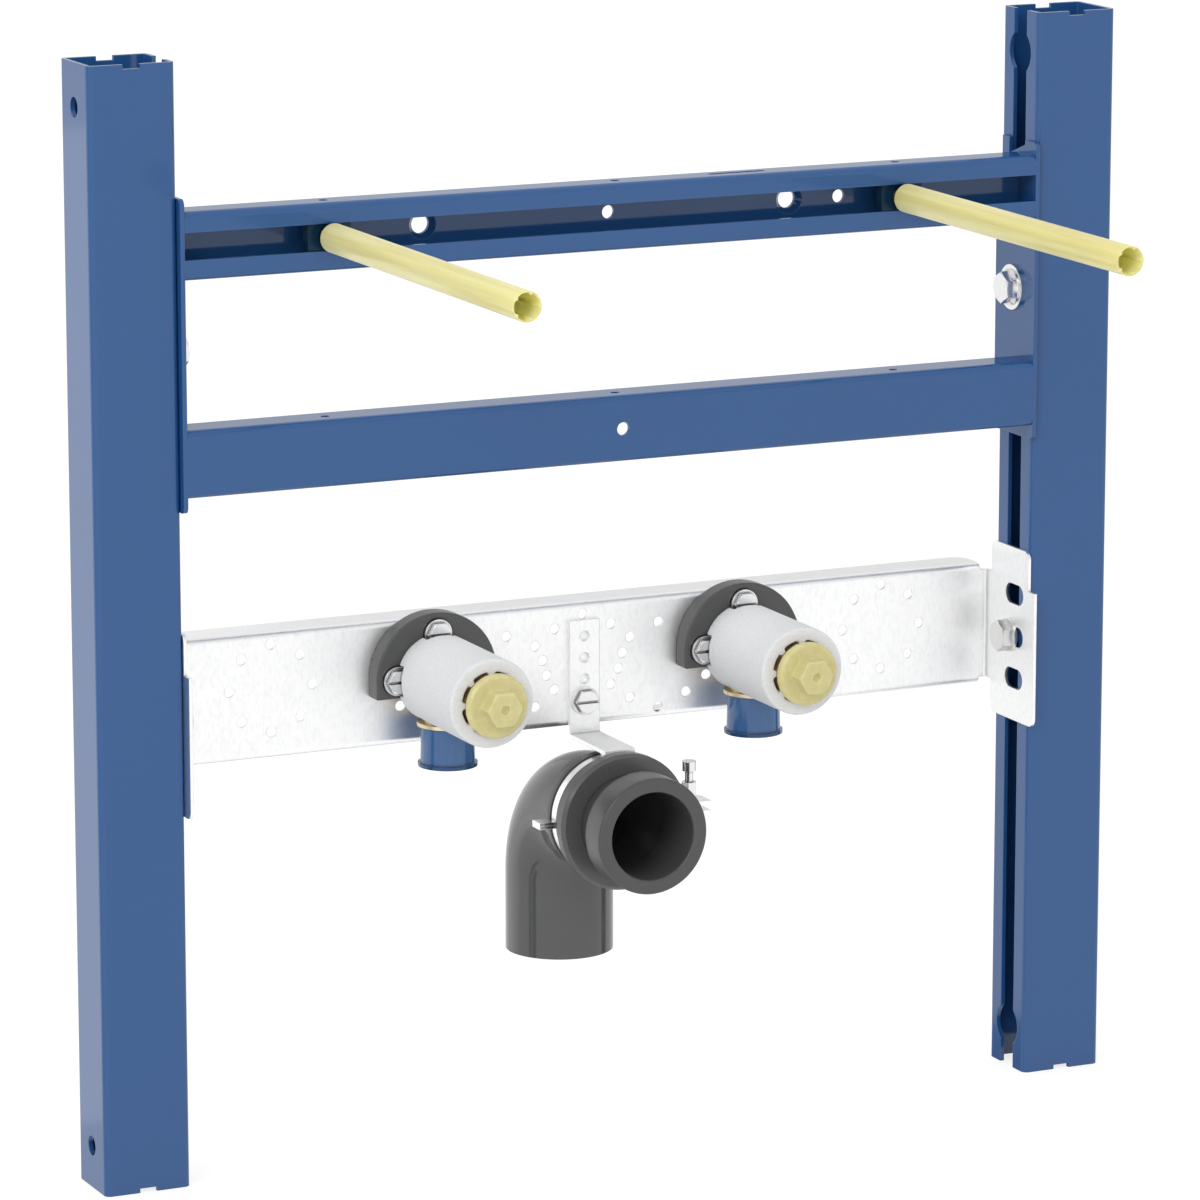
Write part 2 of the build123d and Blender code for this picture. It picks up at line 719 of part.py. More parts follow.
def make_bracket():
    """Strip screwed to the traverse and bent forward over the clamp."""
    run_top = strip_under + strip_thickness
    run_end = collar_back + 2 * fit_clearance
    top = tap_height + strip_above_tap
    outline = Polyline(
        (traverse_front, top), (strip_front, top), (strip_front, run_top), (run_end, run_top),
        (run_end, strip_under), (traverse_front, strip_under), close=True,
    )
    outline = make_face(outline)
    outer_corner = outline.vertices().sort_by_distance((traverse_front, strip_under))[0]
    outline = fillet(outer_corner, 1.5 * strip_thickness)
    inner_corner = outline.vertices().sort_by_distance((strip_front, run_top))[0]
    outline = fillet(inner_corner, 0.5 * strip_thickness)
    strip = along_x(outline, middle - strip_width / 2, middle + strip_width / 2)
    heights = [bracket_screw_height + i * strip_hole_pitch for i in range(strip_hole_count)]
    return strip - [round_y(middle, z, strip_front, traverse_front, strip_hole_diameter) for z in heights]


def make_clamp_lining():
    """Rubber lining of the clamp, with a lip round each edge of the band."""
    seat = clamp_radius - fit_clearance
    lip = clamp_radius + clamp_thickness + clamp_lip_rise
    front_lip = band_front - fit_clearance
    back_lip = band_back + fit_clearance
    return turned_y(middle, waste_height, [
        (lining_radius, clamp_front), (lip, clamp_front), (lip, front_lip), (seat, front_lip),
        (seat, back_lip), (lip, back_lip), (lip, clamp_back), (lining_radius, clamp_back),
    ])


def make_clamp_half(upper):
    """Half of the clamp's band, with a narrow hook tab on the left and a screw ear on the right."""
    y0 = band_front
    y1 = band_back
    crown = clamp_radius + clamp_thickness / 2
    side = 1 if upper else -1
    ring = round_y(middle, waste_height, y0, y1, 2 * (clamp_radius + clamp_thickness))
    split = waste_height - clamp_hook_drop
    tab = sorted((split, split + side * clamp_thickness))
    ring += block(
        middle - clamp_hook_reach, middle - crown,
        clamp_middle - clamp_hook_width / 2, clamp_middle + clamp_hook_width / 2, *tab,
    )
    ear_face = waste_height + side * clamp_gap / 2
    ear = sorted((ear_face, ear_face + side * clamp_thickness))
    ring += block(middle + crown, middle + clamp_ear_reach, y0, y1, *ear)
    if upper:
        ring += round_z(middle, clamp_middle, waste_height + crown, strip_under, clamp_boss_diameter)
        kept = block(0, middle, y0, y1, split, frame_height)
        kept += block(middle, frame_width, y0, y1, ear_face, frame_height)
    else:
        kept = block(0, middle, y0, y1, 0, split)
        kept += block(middle, frame_width, y0, y1, 0, ear_face)
    ring -= round_y(middle, waste_height, y0, y1, 2 * clamp_radius)
    ring -= round_z(
        middle + clamp_screw_from_middle, clamp_middle, 0, frame_height, clamp_screw_diameter + 2 * fit_clearance
    )
    return ring & kept


def make_clamp_screw():
    """Screw, spacer nut and nut that close the clamp."""
    x = middle + clamp_screw_from_middle
    top = waste_height + clamp_screw_above
    ear = clamp_gap / 2 + clamp_thickness
    screw = round_z(x, clamp_middle, waste_height - clamp_screw_below, top, clamp_screw_diameter)
    screw += round_z(x, clamp_middle, top - clamp_screw_head_height, top, clamp_screw_head_diameter)
    spacer = extrude(hexagon(clamp_nut_width), clamp_spacer_above - ear)
    screw += Pos(x, clamp_middle, waste_height + ear) * spacer
    nut = extrude(hexagon(clamp_nut_width), clamp_nut_height)
    return screw + Pos(x, clamp_middle, waste_height - ear - clamp_nut_height) * nut


def save(name, shape):
    """Write one piece as a STEP file."""
    export_step(shape, os.path.join("parts", name + ".step"))


def save_pair(name, shape):
    """Write a left-hand piece and its right-hand twin."""
    save("left_" + name, shape)
    save("right_" + name, mirrored(shape))


os.makedirs("parts", exist_ok=True)

save_pair("upright", make_upright())
save("upper_rail", make_upper_rail())
save("lower_rail", make_lower_rail())
save_pair("end_plate", make_end_plate())

rail_bolt, rail_washer, rail_nut = make_bolt_set(
    rail_bolt_height, end_plate_thickness, make_flanged_head(), rail_washer_diameter
)
save_pair("rail_bolt", rail_bolt)
save_pair("rail_washer", rail_washer)
save_pair("rail_nut", rail_nut)

traverse_bolt, traverse_washer, traverse_nut = make_bolt_set(
    traverse_bolt_height, sheet_thickness, make_bolt_head(), traverse_washer_diameter
)
save("traverse", make_traverse())
save_pair("traverse_bolt", traverse_bolt)
save_pair("traverse_washer", traverse_washer)
save_pair("traverse_nut", traverse_nut)

save_pair("rod", make_rod())
save_pair("rod_nut", make_rod_nut())
rod_tube = make_rod_tube()
save("left_rod_tube", rod_tube)
save("right_rod_tube", Pos(rod_spacing, 0, 0) * rod_tube)

save_pair("tap_pad", make_pad())
save_pair("tap_elbow", make_tap_elbow())
save_pair("tap_sleeve", make_sleeve())
save_pair("tap_screws", make_tap_screws())
save_pair("tap_plug", make_plug())
save_pair("tap_cap", make_cap())

save("waste_bend", make_waste_bend())
save("waste_collar", make_collar())
save("waste_nipple", make_nipple())
save("waste_bracket", make_bracket())
save("waste_bracket_screw", fixing_screw(middle, bracket_screw_height, strip_front, bracket_screw_length))
save("waste_clamp_lining", make_clamp_lining())
save("waste_clamp_upper", make_clamp_half(True))
save("waste_clamp_lower", make_clamp_half(False))
save("waste_clamp_screw", make_clamp_screw())
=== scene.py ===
"""Looks of the basin installation frame: powder-coated uprights and rails, a galvanised traverse,
tap elbows in foam sleeves and a plastic waste bend, on a plain pale studio floor.
"""
import json
import math

import bpy
import bmesh
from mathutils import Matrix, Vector, noise


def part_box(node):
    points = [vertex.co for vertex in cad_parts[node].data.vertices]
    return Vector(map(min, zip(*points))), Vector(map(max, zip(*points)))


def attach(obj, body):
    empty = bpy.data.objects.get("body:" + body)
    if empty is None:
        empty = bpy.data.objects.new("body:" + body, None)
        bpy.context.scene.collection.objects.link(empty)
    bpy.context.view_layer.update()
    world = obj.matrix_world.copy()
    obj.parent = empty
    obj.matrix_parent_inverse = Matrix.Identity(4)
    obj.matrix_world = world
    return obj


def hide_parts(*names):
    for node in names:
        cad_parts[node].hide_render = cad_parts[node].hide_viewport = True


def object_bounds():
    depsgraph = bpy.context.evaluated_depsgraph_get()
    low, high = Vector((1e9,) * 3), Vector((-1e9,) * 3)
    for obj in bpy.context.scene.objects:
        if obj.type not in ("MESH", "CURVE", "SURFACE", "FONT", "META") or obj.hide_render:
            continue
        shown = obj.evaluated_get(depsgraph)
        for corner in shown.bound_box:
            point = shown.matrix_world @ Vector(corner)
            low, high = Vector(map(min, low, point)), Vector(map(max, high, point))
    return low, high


MM = 0.001

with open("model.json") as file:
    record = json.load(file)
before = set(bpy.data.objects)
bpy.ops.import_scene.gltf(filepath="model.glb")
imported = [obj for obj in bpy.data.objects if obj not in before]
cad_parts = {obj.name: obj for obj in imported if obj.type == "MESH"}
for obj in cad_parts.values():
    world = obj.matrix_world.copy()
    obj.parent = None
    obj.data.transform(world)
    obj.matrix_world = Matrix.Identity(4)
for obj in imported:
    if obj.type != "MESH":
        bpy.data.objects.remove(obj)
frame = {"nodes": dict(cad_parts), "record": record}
cad_low, cad_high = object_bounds()
nodes = frame["nodes"]
slots = {part["node"]: part["material_slot"] for part in frame["record"]["subparts"]}
sides = ("left", "right")

# Camera of the photograph
camera_place = Vector((-0.9303, -2.5174, 0.8342))
camera_tilt_deg = 12.0
camera_turn_deg = 25.08
camera_lens_mm = 189.06
camera_sensor_mm = 36.0
camera_clip = (0.1, 200.0)

# Studio: levels are shares of white, and spans of the sky are measured on a direction of length 1
sky_for_light = 0.86
sky_seam_half_width = 0.03
sky_seam_fade = 0.06
sky_seam_level = 0.03
sky_seam_top = 0.55
sky_seam_top_fade = 0.75
sky_behind_span = (-0.05, 0.12)
sky_behind_level = 0.74
sky_overhead_span = (0.3, 0.7)
sky_overhead_gain = 0.22
sky_front_span = (-0.05, 0.35)
sky_front_low_level = 1.13
sky_front_high_level = 0.90
sky_turn_span = (-0.15, 0.2)
key_place = Vector((-2.3, -1.9, 2.2))
key_size = 1.8
key_power = 32.0
floor_size = 60.0
floor_gap = 0.02 * MM
floor_glow = 0.78
floor_shown_albedo = 0.32
floor_bounce_albedo = 0.8
card_y = 0.5
cards = {
    "left_card": ((-0.95, -0.13), (0.0, 0.40), 1.3),
    "middle_card": ((0.0, -0.13), (0.29, 0.40), 1.09),
    "dark_card": ((0.05, -0.60), (0.70, -0.14), 0.3),
}

# Sizes of the modelled details
ring_steps = 180
rod_pitch = 1.5 * MM
rod_thread_depth = 0.9 * MM
rod_steps = 24
rod_rows_per_pitch = 8
rod_flank_slope = 1.25
rod_root_share = 0.1
sleeve_voxel = 0.6 * MM
sleeve_smoothing = 4
sleeve_grain = 1.1 * MM
sleeve_grain_depth = 0.05 * MM
pad_voxel = 0.55 * MM
pad_smoothing = 9
plug_voxel = 0.5 * MM
plug_smoothing = 4
tube_bore = 11.6 * MM
tube_ribs = 5
tube_rib_width = 1.4 * MM
tube_rib_height = 0.75 * MM
tube_rib_flank = 1.5
tube_edge_radius = 0.35 * MM
tube_bore_margin = 0.05 * MM
nipple_bore_radius = 20.0 * MM
nipple_neck_radius = 21.9 * MM
nipple_lip_length = 16.0 * MM
nipple_edge_radius = 1.6 * MM
lining_height = 3.7 * MM
lining_seat_depth = 2.2 * MM
lining_wrap_thickness = 0.55 * MM
lining_side_width = 1.6 * MM
lining_wrap_width = 4.2 * MM
lining_edge_radius = 0.7 * MM
# Band at the foot of the blue cap that the shader darkens as painted shade: its height, how far it fades
# and its top.
cap_rim_height = 3.0 * MM
cap_rim_shade_fade = 1.6 * MM
cap_rim_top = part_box("left_tap_cap")[0].z + cap_rim_height

# Sockets of a colour mix
MIX_FACTOR = 0
MIX_FIRST = 6
MIX_SECOND = 7
MIX_RESULT = 2


def node(tree, kind, inputs=None, **settings):
    """Add a shader node, set its properties and its unlinked inputs."""
    made = tree.nodes.new(kind)
    for name, value in settings.items():
        setattr(made, name, value)
    for name, value in (inputs or {}).items():
        made.inputs[name].default_value = value
    return made


def link(tree, source, output, target, target_input):
    """Join two shader nodes."""
    tree.links.new(source.outputs[output], target.inputs[target_input])


class Finish:
    """A procedural material under construction, mapped by the part's own coordinates in metres."""

    def __init__(self, name, roughness, metallic=0.0):
        self.material = bpy.data.materials.new(name)
        self.material.use_nodes = True
        self.tree = self.material.node_tree
        self.shader = self.tree.nodes["Principled BSDF"]
        self.shader.inputs["Roughness"].default_value = roughness
        self.shader.inputs["Metallic"].default_value = metallic
        self.place = node(self.tree, "ShaderNodeTexCoord")
        self.normal = None

    def stretched(self, scale):
        """The part's coordinates, scaled along X, Y and Z."""
        mapping = node(self.tree, "ShaderNodeMapping", {"Scale": scale})
        link(self.tree, self.place, "Object", mapping, "Vector")
        return mapping

    def noise(self, scale, detail=3.0, stretch=(1, 1, 1)):
        """Noise whose grains are about 1 / scale metres wide."""
        texture = node(self.tree, "ShaderNodeTexNoise", {"Scale": scale, "Detail": detail})
        link(self.tree, self.stretched(stretch), "Vector", texture, "Vector")
        return texture, "Fac"

    def cells(self, scale):
        """Cells about 1 / scale metres wide."""
        texture = node(self.tree, "ShaderNodeTexVoronoi", {"Scale": scale})
        link(self.tree, self.stretched((1, 1, 1)), "Vector", texture, "Vector")
        return texture

    def ranged(self, source, low=0.0, high=1.0, to_low=0.0, to_high=1.0):
        """A value of a texture, moved from one range to another."""
        span = node(self.tree, "ShaderNodeMapRange", {
            "From Min": low, "From Max": high, "To Min": to_low, "To Max": to_high,
        })
        link(self.tree, source[0], source[1], span, "Value")
        return span, "Result"

    def colour(self, source, low, high):
        """Base colour between two colours, following a value from 0 to 1."""
        mix = node(self.tree, "ShaderNodeMix", data_type="RGBA")
        mix.inputs[MIX_FIRST].default_value = (*low, 1.0)
        mix.inputs[MIX_SECOND].default_value = (*high, 1.0)
        link(self.tree, source[0], source[1], mix, MIX_FACTOR)
        link(self.tree, mix, MIX_RESULT, self.shader, "Base Color")
        return mix

    def overlay(self, base, source, colour):
        """Lay another colour over a base colour, where a value is high."""
        mix = node(self.tree, "ShaderNodeMix", data_type="RGBA")
        mix.inputs[MIX_SECOND].default_value = (*colour, 1.0)
        link(self.tree, base, MIX_RESULT, mix, MIX_FIRST)
        link(self.tree, source[0], source[1], mix, MIX_FACTOR)
        link(self.tree, mix, MIX_RESULT, self.shader, "Base Color")
        return mix

    def roughness(self, source, low, high):
        """Roughness between two values, following a value from 0 to 1."""
        span = self.ranged(source, to_low=low, to_high=high)
        link(self.tree, span[0], span[1], self.shader, "Roughness")

    def soft_edges(self, radius):
        """Round the sharp edges in the shading."""
        self.normal = node(self.tree, "ShaderNodeBevel", {"Radius": radius}, samples=6)
        link(self.tree, self.normal, "Normal", self.shader, "Normal")

    def bump(self, source, height, strength=1.0):
        """Raise the surface by a texture, height in metres."""
        raised = node(self.tree, "ShaderNodeBump", {"Distance": height, "Strength": strength})
        link(self.tree, source[0], source[1], raised, "Height")
        if self.normal:
            link(self.tree, self.normal, "Normal", raised, "Normal")
        link(self.tree, raised, "Normal", self.shader, "Normal")
        self.normal = raised

    def crevice_shade(self, distance):
        """A value from ambient occlusion, high in narrow gaps and bores, for painting shade there."""
        shade = node(
            self.tree, "ShaderNodeAmbientOcclusion", {"Distance": distance}, samples=6, only_local=True
        )
        return self.ranged((shade, "AO"), low=0.9, high=0.4)

    def edges(self, radius):
        """A value that is high along the sharp edges."""
        bevel = node(self.tree, "ShaderNodeBevel", {"Radius": radius}, samples=4)
        flat = node(self.tree, "ShaderNodeNewGeometry")
        dot = node(self.tree, "ShaderNodeVectorMath", operation="DOT_PRODUCT")
        link(self.tree, bevel, "Normal", dot, 0)
        link(self.tree, flat, "Normal", dot, 1)
        return self.ranged((dot, "Value"), low=0.98, high=0.8)


def blue_paint(name, low, high, edge_lighting, gloss):
    """Powder coat with a fine orange peel, and a painted highlight: paler colour along its edges."""
    finish = Finish(name, roughness=0.1)
    finish.shader.inputs["Specular IOR Level"].default_value = gloss
    base = finish.colour(finish.noise(scale=9.0, detail=4.0), low, high)
    # Paler colour along the sharp edges: a painted highlight.
    edge_lighting_mask = finish.ranged(finish.edges(radius=0.9 * MM), to_high=0.22)
    finish.overlay(base, edge_lighting_mask, edge_lighting)
    finish.roughness(finish.noise(scale=260.0), low=0.06, high=0.12)
    finish.soft_edges(radius=0.5 * MM)
    finish.bump(finish.noise(scale=600.0, detail=2.0), height=0.005 * MM)
    return finish.material


def galvanised_sheet(name, edge_radius, rough):
    """Bright zinc with a faint spangle, a fine grain, the upright streaks of the rolling and painted shade
    in its holes and gaps.
    """
    finish = Finish(name, roughness=rough, metallic=1.0)
    streaks = finish.noise(scale=120.0, detail=5.0, stretch=(1.0, 1.0, 0.05))
    base = finish.colour(streaks, low=(0.905, 0.908, 0.91), high=(0.965, 0.967, 0.968))
    spangle = finish.ranged((finish.cells(scale=170.0), "Color"), to_high=0.35)
    base = finish.overlay(base, spangle, colour=(0.985, 0.986, 0.987))
    grain = finish.noise(scale=800.0, detail=4.0, stretch=(1.0, 1.0, 0.4))
    grain = finish.ranged(grain, low=0.46, high=0.74, to_high=0.6)
    base = finish.overlay(base, grain, colour=(0.82, 0.823, 0.826))
    # Grey where ambient occlusion finds holes and narrow gaps: painted shade.
    finish.overlay(base, finish.crevice_shade(distance=3.0 * MM), colour=(0.42, 0.42, 0.43))
    finish.roughness(streaks, low=0.8 * rough, high=1.25 * rough)
    finish.soft_edges(edge_radius)
    finish.bump(finish.noise(scale=500.0, detail=3.0, stretch=(1.0, 1.0, 0.12)), height=0.003 * MM)
    return finish.material


def bright_steel(name, low, high, edge_lighting, rough):
    """Plated steel with fine turning marks, painted light along its edges (another colour there) and
    painted shade darkening its narrow gaps.
    """
    finish = Finish(name, roughness=rough, metallic=1.0)
    base = finish.colour(finish.noise(scale=500.0, detail=4.0), low, high)
    # Another colour along the sharp edges: painted light, a highlight where the colour is paler and shade
    # where it is darker.
    edge_lighting_mask = finish.ranged(finish.edges(radius=0.4 * MM), to_high=0.6)
    base = finish.overlay(base, edge_lighting_mask, edge_lighting)
    # Dark colour where ambient occlusion finds narrow gaps and recesses: painted shade.
    finish.overlay(base, finish.crevice_shade(distance=1.6 * MM), colour=[0.12 * v for v in low])
    finish.roughness(finish.noise(scale=300.0), low=0.7 * rough, high=1.4 * rough)
    finish.soft_edges(radius=0.25 * MM)
    finish.bump(finish.noise(scale=900.0, detail=2.0), height=0.002 * MM)
    return finish.material


def yellow_plastic(name, low, high, spread=1.8 * MM, gloss=0.5, rim_glow=0.0):
    """Soft pale-yellow plastic that lets light through, most at its rims, clouded along its length."""
    finish = Finish(name, roughness=0.24)
    finish.shader.inputs["Specular IOR Level"].default_value = gloss
    finish.shader.inputs["Subsurface Weight"].default_value = 0.8
    finish.shader.inputs["Subsurface Radius"].default_value = (1.0, 1.0, 0.6)
    finish.shader.inputs["Subsurface Scale"].default_value = spread
    finish.shader.inputs["Sheen Weight"].default_value = rim_glow
    finish.shader.inputs["Sheen Roughness"].default_value = 0.5
    finish.shader.inputs["Sheen Tint"].default_value = (1.0, 0.92, 0.56, 1.0)
    clouds = finish.noise(scale=300.0, detail=4.0, stretch=(1.0, 0.03, 1.0))
    finish.colour(finish.ranged(clouds, low=0.36, high=0.64), low, high)
    finish.roughness(finish.noise(scale=400.0), low=0.18, high=0.30)
    finish.bump(finish.noise(scale=300.0, detail=2.0, stretch=(1.0, 0.1, 1.0)), height=0.004 * MM)
    return finish.material


def white_foam():
    """Fine closed-cell foam, speckled by its cells."""
    finish = Finish("white_foam", roughness=0.9)
    cell = finish.cells(scale=1000.0)
    speckle = finish.ranged((cell, "Distance"), low=0.1, high=0.8)
    finish.colour(speckle, low=(0.87, 0.873, 0.88), high=(0.80, 0.804, 0.815))
    finish.bump((cell, "Distance"), height=0.02 * MM, strength=0.4)
    return finish.material


def blue_plastic():
    """Blue plastic with upright light and dark streaks in its colour that paint reflections, and darker at
    its foot as painted shade.
    """
    finish = Finish("blue_plastic", roughness=0.08)
    # Upright streaks in the base colour: painted reflections; the same streaks also vary the roughness and
    # bump.
    streaks = finish.noise(scale=330.0, detail=3.0, stretch=(1.0, 1.0, 0.03))
    base = finish.colour(streaks, low=(0.036, 0.115, 0.285), high=(0.062, 0.150, 0.335))
    # Darker blue at the foot of the cap, fading out upwards: painted shade.
    height = node(finish.tree, "ShaderNodeSeparateXYZ")
    link(finish.tree, finish.place, "Object", height, "Vector")
    rim_shade = finish.ranged((height, "Z"), low=cap_rim_top, high=cap_rim_top - cap_rim_shade_fade, to_high=0.8)
    finish.overlay(base, rim_shade, colour=(0.010, 0.045, 0.120))
    finish.roughness(streaks, low=0.05, high=0.10)
    finish.soft_edges(radius=0.4 * MM)
    finish.bump(streaks, height=0.006 * MM)
    return finish.material


def grey_plastic(name, rough):
    """Dark grey pipe plastic with a smooth skin."""
    finish = Finish(name, roughness=rough)
    finish.colour(
        finish.noise(scale=40.0, detail=5.0), low=(0.086, 0.087, 0.087), high=(0.102, 0.102, 0.102)
    )
    finish.roughness(finish.noise(scale=220.0, detail=4.0), low=0.8 * rough, high=1.3 * rough)
    finish.soft_edges(radius=0.5 * MM)
    finish.bump(finish.noise(scale=420.0, detail=3.0), height=0.003 * MM)
    return finish.material


def dark_rubber():
    """Moulded rubber with a dull sheen."""
    finish = Finish("dark_rubber", roughness=0.3)
    finish.colour(
        finish.noise(scale=70.0, detail=4.0), low=(0.064, 0.065, 0.065), high=(0.080, 0.080, 0.080)
    )
    finish.roughness(finish.noise(scale=350.0, detail=4.0), low=0.24, high=0.38)
    finish.bump(finish.noise(scale=900.0, detail=3.0), height=0.012 * MM)
    return finish.material


def brass():
    """Cast and turned brass, a little dulled."""
    finish = Finish("brass", roughness=0.3, metallic=1.0)
    finish.colour(finish.noise(scale=140.0, detail=4.0), low=(0.78, 0.64, 0.41), high=(0.90, 0.78, 0.56))
    finish.roughness(finish.noise(scale=320.0, detail=3.0), low=0.24, high=0.38)
    finish.soft_edges(radius=0.4 * MM)
    finish.bump(finish.noise(scale=600.0, detail=3.0), height=0.006 * MM)
    return finish.material


finishes = {
    "blue_paint": blue_paint(
        "blue_powder_coat",
        low=(0.0190, 0.091, 0.268), high=(0.0225, 0.100, 0.288), edge_lighting=(0.10, 0.19, 0.40), gloss=0.5,
    ),
    "galvanised_sheet": galvanised_sheet("galvanised_sheet", edge_radius=0.5 * MM, rough=0.4),
    "zinc_steel": bright_steel(
        "zinc_plated_steel",
        low=(0.72, 0.722, 0.725), high=(0.84, 0.84, 0.843), edge_lighting=(0.95, 0.95, 0.95), rough=0.2,
    ),
    # Near-black steel for the rods, so that the short piece showing in the gap behind each tube reads as
    # shade: painted shade.
    "dark_steel": bright_steel(
        "rod_steel_darkened_as_shade",
        low=(0.022, 0.023, 0.026), high=(0.04, 0.041, 0.045), edge_lighting=(0.12, 0.12, 0.125), rough=0.32,
    ),
    "yellow_plastic": yellow_plastic(
        "yellow_tube_plastic", low=(0.755, 0.66, 0.205), high=(0.92, 0.83, 0.345), rim_glow=1.0
    ),
    "white_foam": white_foam(),
    "blue_plastic": blue_plastic(),
    "grey_plastic": grey_plastic("grey_pipe_plastic", rough=0.08),
    "dark_rubber": dark_rubber(),
    "brass": brass(),
}
# A much darker copy of the blue paint for the rod nuts: painted shade, so the nuts read as the shade inside
# the rail's slot.
painted_shade_blue = blue_paint(
    "blue_coat_painted_shade",
    low=(0.005, 0.028, 0.062), high=(0.007, 0.034, 0.070), edge_lighting=(0.02, 0.06, 0.11), gloss=0.2,
)
rolled_band = galvanised_sheet("galvanised_band", edge_radius=0.4 * MM, rough=0.2)
dull_collar = grey_plastic("grey_collar_plastic", rough=0.28)
# Zinc of the traverse bolts and washers, darker along its edges than on its faces: painted shade along the
# edges.
dull_zinc = bright_steel(
    "dulled_zinc_steel",
    low=(0.70, 0.695, 0.685), high=(0.79, 0.785, 0.775), edge_lighting=(0.40, 0.40, 0.40), rough=0.3,
)
# A paler, whiter copy of the yellow plastic for the bores of the tubes: painted light, standing in for
# light coming through the wall.
bore_painted_light = yellow_plastic(
    "yellow_bore_painted_light", low=(0.955, 0.87, 0.39), high=(0.975, 0.89, 0.45), spread=3.0 * MM, gloss=0.1
)
plug_plastic = yellow_plastic("yellow_plug_plastic", low=(0.68, 0.62, 0.30), high=(0.74, 0.68, 0.345))
special_finishes = {
    "waste_clamp_upper": rolled_band,
    "waste_clamp_lower": rolled_band,
    "waste_collar": dull_collar,
}
for side in sides:
    # The rod nuts take the darker painted-shade copy of the blue paint.
    special_finishes[f"{side}_rod_nut"] = painted_shade_blue
    special_finishes[f"{side}_traverse_bolt"] = dull_zinc
    special_finishes[f"{side}_traverse_washer"] = dull_zinc
    special_finishes[f"{side}_tap_plug"] = plug_plastic


def finish_of(solid):
    """The finish of a solid: its own where it has one, else that of its material slot."""
    return special_finishes.get(solid, finishes[slots[solid]])


def dress_nodes():
    """Give every solid of the frame its finish."""
    for name, solid in nodes.items():
        solid.data.materials.clear()
        solid.data.materials.append(finish_of(name))


def place_piece(name, mesh, solid):
    """Show a mesh as a piece of the part, in place of a solid and with its finish."""
    mesh.materials.clear()
    mesh.materials.append(finish_of(solid))
    mesh.shade_smooth()
    piece = bpy.data.objects.new(name, mesh)
    bpy.context.scene.collection.objects.link(piece)
    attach(piece, "root")
    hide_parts(solid)
    return piece


def softened(solid, voxel, rounds):
    """Fine mesh of a solid whose edges are rounded off."""
    work = bpy.data.objects.new("work", nodes[solid].data.copy())
    bpy.context.scene.collection.objects.link(work)
    remesh = work.modifiers.new("remesh", "REMESH")
    remesh.mode = "VOXEL"
    remesh.voxel_size = voxel
    smooth = work.modifiers.new("smooth", "SMOOTH")
    smooth.factor = 0.5
    smooth.iterations = rounds
    shown = work.evaluated_get(bpy.context.evaluated_depsgraph_get())
    mesh = bpy.data.meshes.new_from_object(shown)
    bpy.data.objects.remove(work)
    return mesh


def roughen(mesh, grain, depth):
    """Move the points of a mesh inwards along their normals by a fine noise."""
    normals = [point.normal.copy() for point in mesh.vertices]
    for point, normal in zip(mesh.vertices, normals):
        point.co -= normal * depth * (0.5 + 0.5 * noise.noise(point.co / grain))
    mesh.update()


def rounded(outline, radius, steps=5):
    """A closed outline of (radius, y) points with its corners rounded."""
    points = []
    count = len(outline)
    for i in range(count):
        corner = Vector(outline[i])
        before = Vector(outline[i - 1]) - corner
        after = Vector(outline[(i + 1) % count]) - corner
        reach = min(radius, 0.45 * before.length, 0.45 * after.length)
        start = corner + before.normalized() * reach
        end = corner + after.normalized() * reach
        for k in range(steps + 1):
            t = k / steps
            points.append((1 - t) ** 2 * start + 2 * t * (1 - t) * corner + t ** 2 * end)
    return points


def turned(name, x, z, outline_at):
    """Mesh of a closed (radius, y) outline, given for each angle, turned about a line along Y."""
    mesh = bpy.data.meshes.new(name)
    points = []
    for k in range(ring_steps):
        angle = 2 * math.pi * k / ring_steps
        outline = outline_at(angle)
        points += [(x + p.x * math.cos(angle), p.y, z + p.x * math.sin(angle)) for p in outline]
    count = len(outline)
    faces = []
    for k in range(ring_steps):
        here = k * count
        there = (k + 1) % ring_steps * count
        for i in range(count):
            j = (i + 1) % count
            faces.append((here + i, here + j, there + j, there + i))
    mesh.from_pydata(points, [], faces)
    facing = bmesh.new()
    facing.from_mesh(mesh)
    bmesh.ops.recalc_face_normals(facing, faces=facing.faces)
    facing.to_mesh(mesh)
    facing.free()
    return mesh


def axis_of(low, high):
    """X and Z of the middle line of a box."""
    return (low.x + high.x) / 2, (low.z + high.z) / 2


def make_tap_fittings():
    """Foam sleeves with a grained skin, rubber pads with soft edges and moulded plugs."""
    for side in sides:
        sleeve = softened(f"{side}_tap_sleeve", sleeve_voxel, sleeve_smoothing)
        roughen(sleeve, sleeve_grain, sleeve_grain_depth)
        place_piece(f"{side}_foam_sleeve", sleeve, f"{side}_tap_sleeve")
        pad = softened(f"{side}_tap_pad", pad_voxel, pad_smoothing)
        place_piece(f"{side}_rubber_pad", pad, f"{side}_tap_pad")
        plug = softened(f"{side}_tap_plug", plug_voxel, plug_smoothing)
        place_piece(f"{side}_moulded_plug", plug, f"{side}_tap_plug")


def tube_outline(angle, outer, front, back):
    """Outline of a tube's wall at an angle, thicker where a rib runs along the bore."""
    pitch = 2 * math.pi / tube_ribs
    off_rib = abs((angle + pitch / 2) % pitch - pitch / 2) * tube_bore / 2
    rib = max(0.0, min(1.0, tube_rib_flank - off_rib / (tube_rib_width / 2)))
    inner = tube_bore / 2 - tube_rib_height * rib
    return rounded([(inner, front), (outer, front), (outer, back), (inner, back)], tube_edge_radius)


